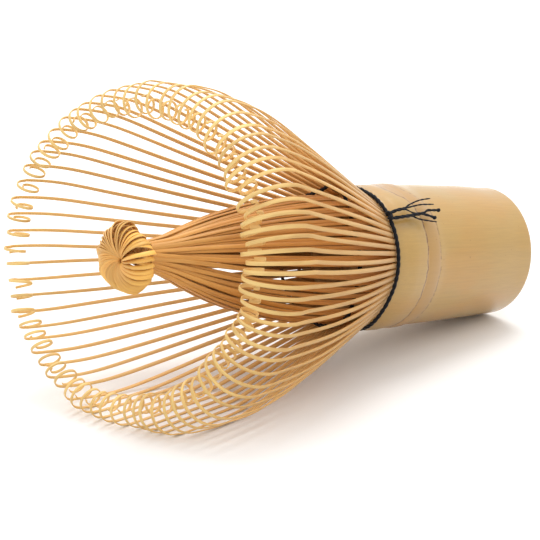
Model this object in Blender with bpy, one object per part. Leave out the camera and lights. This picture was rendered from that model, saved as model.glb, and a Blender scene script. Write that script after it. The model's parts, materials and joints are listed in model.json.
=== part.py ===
"""Matcha whisk of split bamboo, lying on its side on a table.

The whisk is modelled along its own axis with the thread at height zero, the curled tips above it and the
handle below. Local +X is the side that faces up when the whisk lies down. One empty, called whisk, carries
every piece: it tips the whisk over until the handle's edge and the lowest tines touch the table, and sets
the middle of the whisk's footprint on the origin.
"""

import math

import bmesh
import bpy
from mathutils import Matrix, Vector

MM = 0.001

# Clearance between pieces that touch on the real whisk
SEAT_GAP = 0.3 * MM

# Handle: a length of bamboo culm, hollow below its node and below the tines
HANDLE_LENGTH = 37.9 * MM
FOOT_RADIUS = 12.2 * MM
HANDLE_RADIUS = 13.1 * MM
BORE_RADIUS = 9.6 * MM
BASE_EDGE_ROUNDING = 1.0 * MM
NODE_DEPTH = 9.35 * MM
NODE_RIDGE_WIDTH = 3.4 * MM
NODE_RIDGE_RADIUS = 13.55 * MM
NODE_RIDGE_LIP = 0.25 * MM
NODE_WALL = 1.8 * MM
COLLAR_RADIUS = 13.75 * MM
COLLAR_TOP_ROUNDING = 0.9 * MM
HANDLE_SIDES = 40

# Roots of the tines: the culm's wall is split into an outer and an inner ring
ROOT_RADIUS = 12.65 * MM
OUTER_ROOT_THICKNESS = 0.9 * MM
INNER_ROOT_THICKNESS = 1.0 * MM
ROOT_SPREAD = 0.5 * MM
ROOT_HEIGHT = 1.6 * MM
SPLIT_WIDTH = 0.32 * MM

# Outer tines, in groups that each flex as one piece
OUTER_GROUPS = 12
TINES_PER_GROUP = 6
TINE_THICKNESS = 0.45 * MM
TIP_THICKNESS = 0.24 * MM
TIP_WIDTH = 0.62 * MM
CROWN_HEIGHT = 49.8 * MM
CROWN_RADIUS = 30.55 * MM
ROOT_FLARE = math.radians(28.2)
ROOT_REACH = 0.92
CROWN_REACH = 0.22
CURL_RADIUS = 2.9 * MM
CURL_END_RADIUS = 1.5 * MM
CURL_TURN = math.radians(300.0)
CURL_STEPS = 6
SHANK_STEPS = (0.12, 0.36, 0.56, 0.78, 1.0)

# The crown is out of round: waves round it, each with its count, its cosine part and its sine part in
# millimetres. They leave the lowest tines level, and the table presses those flat.
CROWN_WAVES = ((1, 1.96, 2.27), (2, -1.6, 0.41), (3, 0.27, -0.48))
TABLE_PRESS = 0.7 * MM
TIPS_BACK = 2.8 * MM
TIPS_SWING = 0.85 * MM

# The crown grows out of round towards the curls: late where it bulges, earlier where it is pressed in
BULGE_POWER = 3.0
PRESS_POWER = 1.5

# Inner tines, drawn together under the knot that is tied from their tips
INNER_GROUPS = 6
INNER_SPLIT_WIDTH = 0.3 * MM
STRAND_THICKNESS = 0.3 * MM
STRAND_END_THICKNESS = 0.2 * MM
STRAND_FILL = 0.7
BUNDLE_BULGE = 0.55 * MM
KNOT_SETBACK = 0.2 * MM
NECK_RADIUS = 1.85 * MM
NECK_LAYERS_APART = 1.0 * MM
BUNDLE_LIFT = 2.5 * MM
BUNDLE_SHAPE_POWER = 2.3
STRAND_STEPS = (0.18, 0.52, 0.82, 1.0)
LAYERS_PART_FROM = 0.35

# Knot of the inner tines
KNOT_RADIUS = 6.4 * MM
KNOT_THICKNESS = 5.4 * MM
KNOT_DIMPLE_RADIUS = 2.6 * MM
KNOT_DIMPLE_DEPTH = 2.0 * MM
KNOT_STRANDS = 14
KNOT_STRAND_RELIEF = 0.4 * MM
KNOT_TWIST = math.radians(100.0)
KNOT_RINGS = 11
POINTS_PER_STRAND = 4

# Black cotton thread
THREAD_RADIUS = 0.38 * MM
TIE_RADIUS = 0.85 * MM
TIE_ANGLE = math.radians(318.0)
TIE_LIFT = 0.1 * MM
INNER_THREAD_HEIGHT = 5.4 * MM
INNER_THREAD_TURNS = 1.12
INNER_THREAD_RISE = 1.3 * MM
POINTS_PER_LOOP = 24
TAIL_RADIUS = 0.3 * MM
TAIL_START_HEIGHT = 1.1 * MM
TAIL_STEPS = 3

# Routes of the thread's two ends over the collar: depth below the thread and height over the collar, in
# millimetres, and the turn from the tie in degrees
LONG_TAIL_ROUTE = (
    (3.4, 0.85, 3.4),
    (5.6, 1.2, 1.8),
    (7.8, 1.4, 0.6),
    (11.2, 1.6, -0.5),
)
SHORT_TAIL_ROUTE = (
    (3.0, 0.62, -3.4),
    (5.2, 0.9, -4.2),
    (7.2, 1.2, -5.0),
    (9.3, 1.5, -6.4),
)
TAIL_START_TURN = math.radians(2.4)

TINE_COUNT = OUTER_GROUPS * TINES_PER_GROUP
STRANDS_PER_GROUP = TINE_COUNT // INNER_GROUPS
ROOT_BASE = -ROOT_HEIGHT + SEAT_GAP
ROOT_TOP = SEAT_GAP
HANDLE_TOP = ROOT_BASE - SEAT_GAP
BUNDLE_HEIGHT = CROWN_HEIGHT - KNOT_SETBACK
INNER_ROOT_RADIUS = ROOT_RADIUS - OUTER_ROOT_THICKNESS - ROOT_SPREAD
CORNER_REACH = 1 / math.cos(math.pi / POINTS_PER_LOOP)


def finish(name, color, roughness, metallic=0.0):
    material = bpy.data.materials.new(name)
    material.use_nodes = True
    surface = material.node_tree.nodes["Principled BSDF"]
    surface.inputs["Base Color"].default_value = (*color, 1.0)
    surface.inputs["Roughness"].default_value = roughness
    surface.inputs["Metallic"].default_value = metallic
    return material


def place(name, mesh_or_curve, material, whisk, pose=None):
    piece = bpy.data.objects.new(name, mesh_or_curve)
    bpy.context.scene.collection.objects.link(piece)
    mesh_or_curve.materials.append(material)
    piece.parent = whisk
    if pose is not None:
        piece.matrix_local = pose
    return piece


def mesh_piece(name, shape, material, whisk, pose=None, smooth_angle=math.radians(40.0)):
    """Make a piece of a shape drawn in the whisk's own frame. A pose moves its origin, not the piece."""
    bmesh.ops.recalc_face_normals(shape, faces=shape.faces)
    if pose is not None:
        bmesh.ops.transform(shape, matrix=pose.inverted(), verts=shape.verts)
    mesh = bpy.data.meshes.new(name)
    shape.to_mesh(mesh)
    shape.free()
    mesh.shade_smooth()
    mesh.set_sharp_from_angle(angle=smooth_angle)
    return place(name, mesh, material, whisk, pose)


def around(radius, angle, height):
    return Vector((radius * math.cos(angle), radius * math.sin(angle), height))


def arc(center, radius, start_degrees, end_degrees, steps):
    """Points (radius, height) on an arc, both ends included."""
    points = []
    for step in range(steps + 1):
        angle = math.radians(start_degrees + (end_degrees - start_degrees) * step / steps)
        points.append((center[0] + radius * math.cos(angle), center[1] + radius * math.sin(angle)))
    return points


def turned(outline, sides):
    """Closed solid of revolution from an outline that starts and ends on the axis."""
    shape = bmesh.new()
    half_side = math.pi / sides
    verts = [shape.verts.new(around(radius, half_side, height)) for radius, height in outline]
    edges = [shape.edges.new(pair) for pair in zip(verts, verts[1:])]
    whole = 2 * math.pi
    ring = verts + edges
    bmesh.ops.spin(
        shape, geom=ring, cent=(0, 0, 0), axis=(0, 0, 1), angle=whole, steps=sides, use_merge=True
    )
    bmesh.ops.remove_doubles(shape, verts=shape.verts, dist=0.001 * MM)
    return shape


def extruded(shape, face, closes_end=False):
    """Extrude a face and return the new one. The old face stays only where it closes the solid's end."""
    grown = bmesh.ops.extrude_face_region(shape, geom=[face])
    new_face = next(item for item in grown["geom"] if isinstance(item, bmesh.types.BMFace))
    if not closes_end:
        bmesh.ops.delete(shape, geom=[face], context="FACES_ONLY")
    return new_face


# Handle

def collar_radius(depth):
    """Outer radius of the handle between the node's ridge and the thread."""
    ridge_top = NODE_DEPTH - NODE_RIDGE_WIDTH / 2
    middle = (ridge_top + ROOT_HEIGHT) / 2
    half = (ridge_top - ROOT_HEIGHT) / 2
    share = (depth - middle) / half
    edge_radius = NODE_RIDGE_RADIUS
    return edge_radius + (COLLAR_RADIUS - edge_radius) * (1 - share * share)


def handle_outline():
    ridge_low = -NODE_DEPTH - NODE_RIDGE_WIDTH / 2
    ridge_high = -NODE_DEPTH + NODE_RIDGE_WIDTH / 2
    foot = -HANDLE_LENGTH
    edge = BASE_EDGE_ROUNDING
    swell = (NODE_RIDGE_RADIUS - HANDLE_RADIUS) * 0.45
    wall_low = -NODE_DEPTH - NODE_WALL / 2
    wall_high = -NODE_DEPTH + NODE_WALL / 2
    outline = [(0.0, wall_low), (BORE_RADIUS, wall_low), (BORE_RADIUS, foot)]
    outline += arc((FOOT_RADIUS - edge, foot + edge), edge, -90, 0, 3)
    outline += [
        (FOOT_RADIUS + (HANDLE_RADIUS - FOOT_RADIUS) * 0.6, foot + HANDLE_LENGTH * 0.35),
        (HANDLE_RADIUS + swell * 0.25, ridge_low - 3.2 * NODE_RIDGE_LIP - NODE_RIDGE_WIDTH),
        (HANDLE_RADIUS + swell, ridge_low - NODE_RIDGE_LIP),
        (NODE_RIDGE_RADIUS - NODE_RIDGE_LIP, ridge_low),
        (NODE_RIDGE_RADIUS, ridge_low + NODE_RIDGE_LIP * 2),
        (NODE_RIDGE_RADIUS, ridge_high - NODE_RIDGE_LIP * 2),
        (NODE_RIDGE_RADIUS - NODE_RIDGE_LIP, ridge_high),
    ]
    for share in (0.85, 0.6, 0.35):
        depth = ROOT_HEIGHT + (NODE_DEPTH - NODE_RIDGE_WIDTH / 2 - ROOT_HEIGHT) * share
        outline.append((collar_radius(depth), -depth))
    rounding = COLLAR_TOP_ROUNDING
    shoulder = collar_radius(ROOT_HEIGHT + rounding)
    outline += arc((shoulder - rounding, HANDLE_TOP - rounding), rounding, 0, 90, 3)
    outline += [(BORE_RADIUS, HANDLE_TOP), (BORE_RADIUS, wall_high), (0.0, wall_high)]
    return outline


def build_handle(whisk):
    material = finish("bamboo_skin", (0.62, 0.42, 0.17), 0.32)
    shape = turned(handle_outline(), HANDLE_SIDES)
    return mesh_piece("handle", shape, material, whisk, smooth_angle=math.radians(30.0))


# Tines

def crown_wave(angle):
    wave = 0.0
    for count, cosine, sine in CROWN_WAVES:
        wave += cosine * math.cos(count * angle) + sine * math.sin(count * angle)
    return wave * MM


def crown_offset(angle):
    """How far the crown departs from a true circle at an angle round the axis: outward and upward."""
    outward = crown_wave(angle)
    upward = -TIPS_BACK * math.cos(angle) + TIPS_SWING * math.sin(angle)
    underside = -math.cos(angle)
    if underside > 0.8:
        table = CROWN_RADIUS + crown_wave(math.pi) - TABLE_PRESS
        outward = min(outward, table / underside - CROWN_RADIUS)
    return outward, upward


def shank_point(share):
    """Middle of an outer tine between thread and crown, and its lean, on the ideal round crown."""
    start = Vector((ROOT_RADIUS - TINE_THICKNESS / 2, ROOT_TOP))
    end = Vector((CROWN_RADIUS, CROWN_HEIGHT))
    height = CROWN_HEIGHT - ROOT_TOP
    leaving = start + ROOT_REACH * height * Vector((math.sin(ROOT_FLARE), math.cos(ROOT_FLARE)))
    arriving = end - CROWN_REACH * height * Vector((0.0, 1.0))
    rest = 1 - share
    weights = (rest**3, 3 * rest**2 * share, 3 * rest * share**2, share**3)
    point = weights[0] * start + weights[1] * leaving + weights[2] * arriving + weights[3] * end
    slope = rest**2 * (leaving - start) + 2 * rest * share * (arriving - leaving)
    slope += share**2 * (end - arriving)
    return point, math.atan2(slope.x, slope.y)


def outer_stations(angle):
    """Cross-sections of one outer tine: radius, height, lean, width and thickness."""
    outward, upward = crown_offset(angle)
    root_width = 2 * math.pi * ROOT_RADIUS / TINE_COUNT - SPLIT_WIDTH
    stations = []
    for share in SHANK_STEPS:
        point, lean = shank_point(share)
        blend = (point.y / CROWN_HEIGHT) ** (BULGE_POWER if outward > 0 else PRESS_POWER)
        width = root_width + (TIP_WIDTH - root_width) * share
        thickness = TINE_THICKNESS + (TIP_THICKNESS - TINE_THICKNESS) * share
        stations.append((point.x + outward * blend, point.y + upward * blend, lean, width, thickness))
    radius = CROWN_RADIUS + outward
    height = CROWN_HEIGHT + upward
    turn = CURL_TURN / CURL_STEPS
    for step in range(CURL_STEPS):
        bend = CURL_RADIUS + (CURL_END_RADIUS - CURL_RADIUS) * (step + 0.5) / CURL_STEPS
        middle = turn * (step + 0.5)
        radius -= bend * turn * math.sin(middle)
        height += bend * turn * math.cos(middle)
        stations.append((radius, height, -turn * (step + 1), TIP_WIDTH, TIP_THICKNESS))
    return stations


def bundle_radius(share):
    """Radius of the inner tines' ring at a share of the way from the thread to the knot."""
    root = INNER_ROOT_RADIUS - INNER_ROOT_THICKNESS / 2
    narrowing = share**BUNDLE_SHAPE_POWER
    bulge = BUNDLE_BULGE * math.sin(math.pi * min(1.0, 2.2 * share)) if share < 1 / 2.2 else 0.0
    return root + (NECK_RADIUS - root) * narrowing + bulge


def inner_stations(layer):
    """Cross-sections of one inner tine. Its layer is 1 for the outer and -1 for the inner row at the neck."""
    stations = []
    step = 0.01
    for share in STRAND_STEPS:
        parting = max(0.0, (share - LAYERS_PART_FROM) / (1 - LAYERS_PART_FROM))
        radius = bundle_radius(share) + layer * NECK_LAYERS_APART / 2 * parting
        slope = (bundle_radius(share) - bundle_radius(share - step)) / (BUNDLE_HEIGHT * step)
        crowding = 2.0 if parting * NECK_LAYERS_APART > 1.6 * STRAND_THICKNESS else 1.0
        pitch = 2 * math.pi * radius / TINE_COUNT
        root_width = 2 * math.pi * INNER_ROOT_RADIUS / TINE_COUNT - INNER_SPLIT_WIDTH
        width = min(root_width, STRAND_FILL * pitch * crowding)
        thickness = STRAND_THICKNESS + (STRAND_END_THICKNESS - STRAND_THICKNESS) * share
        stations.append((radius, BUNDLE_HEIGHT * share, math.atan(slope), width, thickness))
    return stations


def corner_places(angle, station, lift):
    """The four corners of a tine's section, by outer or inner side and by which way round it lies."""
    radius, height, lean, width, thickness = station
    center = around(radius, angle, height) + Vector((lift, 0.0, 0.0))
    across = Vector((-math.sin(angle), math.cos(angle), 0.0))
    outward = around(math.cos(lean), angle, -math.sin(lean))
    places = {}
    for side in (-1, 1):
        for way in (-1, 1):
            places[side, way] = center + outward * (side * thickness / 2) + across * (way * width / 2)
    return places


def grow_tine(shape, root_face, angle, stations, lift_at):
    """Extrude one tine from its place on the root's top face."""
    across = Vector((-math.sin(angle), math.cos(angle), 0.0))
    middle = root_face.calc_center_median()
    keys = {}
    for vert in root_face.verts:
        offset = vert.co - middle
        side = 1 if offset.dot(around(1.0, angle, 0.0)) > 0 else -1
        way = 1 if offset.dot(across) > 0 else -1
        keys[vert] = (side, way)
    face = root_face
    for station in stations:
        order = [keys[vert] for vert in face.verts]
        face = extruded(shape, face)
        places = corner_places(angle, station, lift_at(station[1]))
        keys = dict(zip(face.verts, order))
        for vert, key in keys.items():
            vert.co = places[key]


def comb(first_angle, count, split_width, inner_radius, outer_radius, stations_of, lift_at):
    """A slice of the split culm with its tines: every other column of the slice carries one."""
    pitch = 2 * math.pi / TINE_COUNT
    split = split_width / outer_radius
    shape = bmesh.new()
    start = first_angle + split / 2
    lower = [(inner_radius, ROOT_BASE), (outer_radius, ROOT_BASE)]
    upper = [(outer_radius, ROOT_TOP), (inner_radius, ROOT_TOP)]
    corners = lower + upper
    face = shape.faces.new([shape.verts.new(around(radius, start, height)) for radius, height in corners])
    for column in range(2 * count - 1):
        width = pitch - split if column % 2 == 0 else split
        face = extruded(shape, face, closes_end=column == 0)
        bmesh.ops.rotate(shape, verts=face.verts, cent=(0, 0, 0), matrix=Matrix.Rotation(width, 3, "Z"))
    bmesh.ops.recalc_face_normals(shape, faces=shape.faces)
    tops = [item for item in shape.faces if item.normal.z > 0.9]
    for index in range(count):
        angle = first_angle + pitch * (index + 0.5)
        spot = around((inner_radius + outer_radius) / 2, angle, ROOT_TOP)
        root_face = min(tops, key=lambda item: (item.calc_center_median() - spot).length)
        tops.remove(root_face)
        grow_tine(shape, root_face, angle, stations_of(angle, index), lift_at)
    return shape


def hinge_pose(group):
    """Origin of a group of outer tines: at the thread, in the split wall, with Y along its flexing line."""
    angle = (group + 0.5) * 2 * math.pi / OUTER_GROUPS
    pivot = around(ROOT_RADIUS - OUTER_ROOT_THICKNESS / 2, angle, 0.0)
    return Matrix.Translation(pivot) @ Matrix.Rotation(angle, 4, "Z")


def build_outer_tines(whisk):
    material = finish("bamboo_tines", (0.80, 0.55, 0.22), 0.42)
    group_angle = 2 * math.pi / OUTER_GROUPS
    for group in range(OUTER_GROUPS):
        shape = comb(
            group * group_angle,
            TINES_PER_GROUP,
            SPLIT_WIDTH,
            ROOT_RADIUS - OUTER_ROOT_THICKNESS,
            ROOT_RADIUS,
            lambda angle, index: outer_stations(angle),
            lambda height: 0.0,
        )
        mesh_piece(f"outer_tines_{group + 1:02d}", shape, material, whisk, hinge_pose(group))


def bundle_lift(height):
    return BUNDLE_LIFT * max(0.0, height / BUNDLE_HEIGHT) ** 2


def build_inner_tines(whisk):
    material = finish("bamboo_pith_side", (0.66, 0.38, 0.14), 0.5)
    group_angle = 2 * math.pi / INNER_GROUPS
    for group in range(INNER_GROUPS):
        shape = comb(
            group * group_angle,
            STRANDS_PER_GROUP,
            INNER_SPLIT_WIDTH,
            INNER_ROOT_RADIUS - INNER_ROOT_THICKNESS,
            INNER_ROOT_RADIUS,
            lambda angle, index: inner_stations(1 if index % 2 else -1),
            bundle_lift,
        )
        mesh_piece(f"inner_tines_{group + 1}", shape, material, whisk)


# Knot of the inner tines

def knot_outline():
    """Half section of the knot, from the dimple round the rim to the neck: radius, height and relief."""
    rim = KNOT_THICKNESS / 2
    ring = KNOT_RADIUS - rim
    points = []
    start = math.radians(148.0)
    end = math.radians(-142.0)
    for step in range(KNOT_RINGS + 1):
        share = step / KNOT_RINGS
        angle = start + (end - start) * share
        relief = math.sin(math.pi * min(1.0, 0.15 + share * 0.85)) ** 0.5
        points.append((ring + rim * math.cos(angle), rim * math.sin(angle), relief))
    return points


def build_knot(whisk):
    material = finish("bamboo_knot", (0.78, 0.52, 0.22), 0.45)
    center = BUNDLE_HEIGHT + SEAT_GAP + STRAND_END_THICKNESS / 2 + KNOT_THICKNESS / 2
    sides = KNOT_STRANDS * POINTS_PER_STRAND
    outline = knot_outline()
    dimple = KNOT_THICKNESS / 2 - KNOT_DIMPLE_DEPTH
    shape = bmesh.new()
    bmesh.ops.create_circle(shape, cap_ends=True, segments=sides, radius=KNOT_DIMPLE_RADIUS * 0.3)
    face = next(iter(shape.faces))
    for vert in face.verts:
        vert.co.z = dimple
    angles = {vert: math.atan2(vert.co.y, vert.co.x) for vert in face.verts}
    for index, (radius, height, relief) in enumerate(outline):
        order = [angles[vert] for vert in face.verts]
        face = extruded(shape, face, closes_end=index == 0)
        angles = dict(zip(face.verts, order))
        twist = KNOT_TWIST * index / KNOT_RINGS
        for vert, angle in angles.items():
            groove = abs(math.sin(KNOT_STRANDS * angle / 2))
            inset = KNOT_STRAND_RELIEF * relief * (1 - groove)
            vert.co = around(radius - inset, angle + twist, height)
    bmesh.ops.translate(shape, verts=shape.verts, vec=(bundle_lift(BUNDLE_HEIGHT), 0.0, center))
    return mesh_piece("inner_knot", shape, material, whisk)


# Thread

def tube(name, points, radius, material, whisk):
    curve = bpy.data.curves.new(name, "CURVE")
    curve.dimensions = "3D"
    curve.bevel_depth = radius
    curve.bevel_resolution = 1
    curve.use_fill_caps = True
    spline = curve.splines.new("POLY")
    spline.points.add(len(points) - 1)
    for slot, point in zip(spline.points, points):
        slot.co = (*point, 1.0)
    return place(name, curve, material, whisk)


def smooth_route(points, steps):
    """Points on a smooth curve through the route's own points."""
    padded = [2 * points[0] - points[1], *points, 2 * points[-1] - points[-2]]
    route = []
    for index in range(len(points) - 1):
        before, start, end, after = padded[index : index + 4]
        for step in range(steps):
            share = step / steps
            route.append(
                0.5
                * (
                    2 * start
                    + (end - before) * share
                    + (2 * before - 5 * start + 4 * end - after) * share**2
                    + (3 * start - before - 3 * end + after) * share**3
                )
            )
    route.append(points[-1].copy())
    return route


def least_gap(points, radius, skip):
    """Least clear distance between stretches of one tube that lie more than skip points apart."""
    gap = math.inf
    for index, first in enumerate(points):
        for second in points[index + skip :]:
            gap = min(gap, (first - second).length - 2 * radius)
    return gap


def build_threads(whisk):
    cotton = finish("black_cotton", (0.012, 0.013, 0.018), 0.85)
    ring_radius = ROOT_RADIUS + SEAT_GAP + THREAD_RADIUS
    open_angle = 2 * math.asin((TIE_RADIUS + SEAT_GAP) / (2 * ring_radius)) + 0.3 * SEAT_GAP / ring_radius
    ring = []
    for step in range(POINTS_PER_LOOP + 1):
        angle = TIE_ANGLE + open_angle + (2 * math.pi - 2 * open_angle) * step / POINTS_PER_LOOP
        ring.append(around(ring_radius * CORNER_REACH, angle, 0.0))
    tube("outer_thread", ring, THREAD_RADIUS, cotton, whisk)

    share = INNER_THREAD_HEIGHT / BUNDLE_HEIGHT
    bundle = bundle_radius(share) + BUNDLE_BULGE / 4 + STRAND_THICKNESS / 2
    coil_radius = bundle + SEAT_GAP + THREAD_RADIUS
    coil = []
    points = round(POINTS_PER_LOOP * INNER_THREAD_TURNS)
    for step in range(points + 1):
        turn = 2 * math.pi * INNER_THREAD_TURNS * step / points
        height = INNER_THREAD_HEIGHT + INNER_THREAD_RISE * (turn / (2 * math.pi) - INNER_THREAD_TURNS / 2)
        corner = around(coil_radius * CORNER_REACH, TIE_ANGLE + turn, height)
        coil.append(corner + Vector((bundle_lift(height), 0.0, 0.0)))
    tube("inner_thread", coil, THREAD_RADIUS, cotton, whisk)
    gap = least_gap(coil, THREAD_RADIUS, POINTS_PER_LOOP // 2)
    print(f"inner_thread: least gap to itself {gap / MM:.2f} mm")

    tie_center = around(ROOT_RADIUS + SEAT_GAP + TIE_RADIUS, TIE_ANGLE, TIE_LIFT)
    tie = bmesh.new()
    bmesh.ops.create_icosphere(tie, subdivisions=2, radius=TIE_RADIUS)
    for vert in tie.verts:
        wrap = abs(math.sin(3 * math.atan2(vert.co.z, vert.co.y) + vert.co.x / TIE_RADIUS))
        vert.co *= 0.88 + 0.12 * wrap
    bmesh.ops.translate(tie, verts=tie.verts, vec=tie_center)
    mesh_piece("thread_knot", tie, cotton, whisk)

    tails = (("thread_tail_long", 1, LONG_TAIL_ROUTE), ("thread_tail_short", -1, SHORT_TAIL_ROUTE))
    for name, side, route in tails:
        start_radius = tie_center.to_2d().length + TIE_RADIUS * 0.6
        knots = [around(start_radius, TIE_ANGLE + side * TAIL_START_TURN, -TAIL_START_HEIGHT)]
        for depth, height, turn in route:
            over_collar = max(COLLAR_RADIUS, NODE_RIDGE_RADIUS) + height * MM
            knots.append(around(over_collar, TIE_ANGLE + math.radians(turn), -depth * MM))
        tube(name, smooth_route(knots, TAIL_STEPS), TAIL_RADIUS, cotton, whisk)


# Lying down

def local_points(names):
    bpy.context.view_layer.update()
    graph = bpy.context.evaluated_depsgraph_get()
    points = []
    for piece in bpy.data.objects:
        if piece.type == "EMPTY" or not piece.name.startswith(names):
            continue
        evaluated = piece.evaluated_get(graph)
        mesh = evaluated.to_mesh()
        points += [piece.matrix_local @ vert.co for vert in mesh.vertices]
        evaluated.to_mesh_clear()
    return points


def lying_turn(angle):
    """Rotation that lays the axis down, with the tips toward -X and raised by an angle."""
    return Matrix.Rotation(angle - math.pi / 2, 3, "Y")


def lay_down(whisk):
    """Tip the whisk over until its handle and its lowest tines touch the table, and center it there."""
    handle = local_points("handle")
    tines = local_points("outer_tines")
    low, high = 0.0, math.radians(45.0)
    for _ in range(40):
        angle = (low + high) / 2
        turn = lying_turn(angle)
        handle_foot = min((turn @ point).z for point in handle)
        tines_foot = min((turn @ point).z for point in tines)
        if tines_foot < handle_foot:
            low = angle
        else:
            high = angle
    turn = lying_turn((low + high) / 2)
    everything = [turn @ point for point in local_points(("handle", "outer", "inner", "thread"))]
    lows = [min(p[axis] for p in everything) for axis in (0, 1)]
    highs = [max(p[axis] for p in everything) for axis in (0, 1)]
    middle = [(low + high) / 2 for low, high in zip(lows, highs)]
    whisk.rotation_euler = turn.to_euler()
    whisk.location = (-middle[0], -middle[1], -min(point.z for point in everything))


def main():
    for old in list(bpy.data.objects):
        bpy.data.objects.remove(old, do_unlink=True)
    whisk = bpy.data.objects.new("whisk", None)
    bpy.context.scene.collection.objects.link(whisk)
    build_handle(whisk)
    build_outer_tines(whisk)
    build_inner_tines(whisk)
    build_knot(whisk)
    build_threads(whisk)
    lay_down(whisk)


main()
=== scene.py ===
"""Bamboo matcha whisk lying on a white table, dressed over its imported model.

Everything is modelled in the whisk's own upright frame, with the outer thread at height zero, the tips above
it and the handle below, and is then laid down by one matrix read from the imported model.
"""

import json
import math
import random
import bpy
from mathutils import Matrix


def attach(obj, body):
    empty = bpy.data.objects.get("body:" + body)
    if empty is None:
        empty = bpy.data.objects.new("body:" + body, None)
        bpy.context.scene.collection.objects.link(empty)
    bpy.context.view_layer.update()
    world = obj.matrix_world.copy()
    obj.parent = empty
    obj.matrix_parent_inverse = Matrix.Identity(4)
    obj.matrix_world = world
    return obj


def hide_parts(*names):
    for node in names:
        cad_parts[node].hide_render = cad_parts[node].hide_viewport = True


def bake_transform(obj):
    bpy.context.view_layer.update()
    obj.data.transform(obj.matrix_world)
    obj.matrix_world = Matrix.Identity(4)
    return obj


bl_info = {
    "name": "Bamboo Matcha Whisk",
    "version": (1, 0, 0),
    "blender": (4, 5, 0),
    "location": "View3D > Sidebar > Whisk",
    "description": "Builds a bamboo matcha whisk with curled tines, its knotted bundle and its thread",
    "category": "Add Mesh",
}

import bmesh
import bpy
from bpy.props import FloatProperty, FloatVectorProperty, IntProperty, PointerProperty
from bpy.types import Operator, Panel, PropertyGroup
from mathutils import Matrix, Vector, noise

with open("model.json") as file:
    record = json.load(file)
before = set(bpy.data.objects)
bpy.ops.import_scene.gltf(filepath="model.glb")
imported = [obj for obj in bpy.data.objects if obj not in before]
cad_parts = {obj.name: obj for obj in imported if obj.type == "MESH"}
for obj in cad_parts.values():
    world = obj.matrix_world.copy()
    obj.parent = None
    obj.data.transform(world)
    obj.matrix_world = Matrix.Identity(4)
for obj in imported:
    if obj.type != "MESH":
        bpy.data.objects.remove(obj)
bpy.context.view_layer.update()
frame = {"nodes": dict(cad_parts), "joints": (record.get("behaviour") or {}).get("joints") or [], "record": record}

MM = 0.001

# The whisk's own frame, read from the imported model
CROWN_JOINTS = [joint for joint in frame["joints"] if joint["child"].startswith("tines_")]
HANDLE_END = next(mount for mount in frame["record"]["mounts"] if mount["name"] == "handle_end")
NECK = sum((Vector(joint["pos_m"]) for joint in CROWN_JOINTS), Vector()) / len(CROWN_JOINTS)
TIPWARD = -Vector(HANDLE_END["axis"]).normalized()
SKYWARD = (Vector((0, 0, 1)) - TIPWARD * TIPWARD.z).normalized()
LYING = Matrix((SKYWARD, TIPWARD.cross(SKYWARD), TIPWARD)).transposed().to_4x4()
LYING.translation = NECK

OUTER_GROUPS = len(CROWN_JOINTS)
INNER_GROUPS = sum(name.startswith("inner_tines_") for name in frame["nodes"])

# Heights of the bamboo's ridge, from the thread
RIDGE_LOW = -11.2 * MM
RIDGE_HIGH = -7.75 * MM


# Sizes and colours

def metres(name, description, default):
    return FloatProperty(name=name, description=description, default=default, unit="LENGTH")


def tint(name, description, default):
    """A colour as it looks on a screen."""
    kind = {"size": 3, "subtype": "COLOR_GAMMA"}
    return FloatVectorProperty(name=name, description=description, default=default, **kind)


class WhiskSizes(PropertyGroup):
    """Sizes of the bamboo and of the thread."""

    tines: IntProperty(name="Tines", description="In the crown, and again in the bundle", default=72, min=24)
    handle_length: metres("Handle length", "From the thread to the end of the handle", 37.9 * MM)
    foot_radius: metres("Foot radius", "Radius of the bamboo at its end", 12.2 * MM)
    handle_radius: metres("Handle radius", "Radius of the bamboo below its ridge", 13.1 * MM)
    bore_radius: metres("Bore radius", "Radius of the hollow in the handle", 9.6 * MM)
    ridge_radius: metres("Ridge radius", "Radius of the bamboo's ridge", 13.5 * MM)
    collar_radius: metres("Collar radius", "Largest radius, between ridge and thread", 13.7 * MM)
    root_radius: metres("Root radius", "Radius of the outer tines at the thread", 12.65 * MM)
    crown_radius: metres("Crown radius", "Mean radius of the crown", 30.6 * MM)
    crown_height: metres("Crown height", "From the thread to where the curls begin", 47.35 * MM)
    thread_radius: metres("Thread radius", "Radius of the twisted cotton thread", 0.38 * MM)


class WhiskColours(PropertyGroup):
    """Colours of the bamboo and of the thread."""

    skin: tint("Skin", "Polished outside of the handle", (0.745, 0.59, 0.30))
    ridge: tint("Ridge", "The bamboo's ridge", (0.72, 0.53, 0.29))
    pith: tint("Pith", "Inside of the handle", (0.80, 0.66, 0.45))
    tine: tint("Tine", "Outer side of the crown's tines", (0.83, 0.66, 0.45))
    # The curls' gold is partly the thin bamboo's own colour and partly painted glow of light shining through it
    curl: tint("Curl", "Thin curled ends of the tines", (0.985, 0.84, 0.54))
    tine_back: tint("Tine back", "Inner side of the tines", (0.93, 0.75, 0.48))
    bundle: tint("Bundle", "Tines of the inner bundle", (0.91, 0.67, 0.35))
    thread: tint("Thread", "Black cotton", (0.06, 0.065, 0.09))


class StageSettings(PropertyGroup):
    """Camera, lamps and table."""

    lens: FloatProperty(name="Lens", description="Focal length in millimetres", default=180.26)
    azimuth: FloatProperty(name="Azimuth", description="Camera azimuth in degrees", default=-42.42)
    elevation: FloatProperty(name="Elevation", description="Camera elevation in degrees", default=19.43)
    key_strength: FloatProperty(name="Key", description="Strength of the main light", default=1.25)
    key_softness: FloatProperty(name="Softness", description="Width of the main light in degrees", default=35)
    sky_high: FloatProperty(name="Sky overhead", description="Light from above", default=1.24)
    sky_low: FloatProperty(name="Sky low down", description="Light from the sides", default=0.3)
    table: tint("Table", "Colour of the table", (0.99, 0.988, 0.985))
    table_bounce: tint("Table bounce", "Colour of the light that the table throws back", (0.84, 0.825, 0.80))


# Shader expressions

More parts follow.
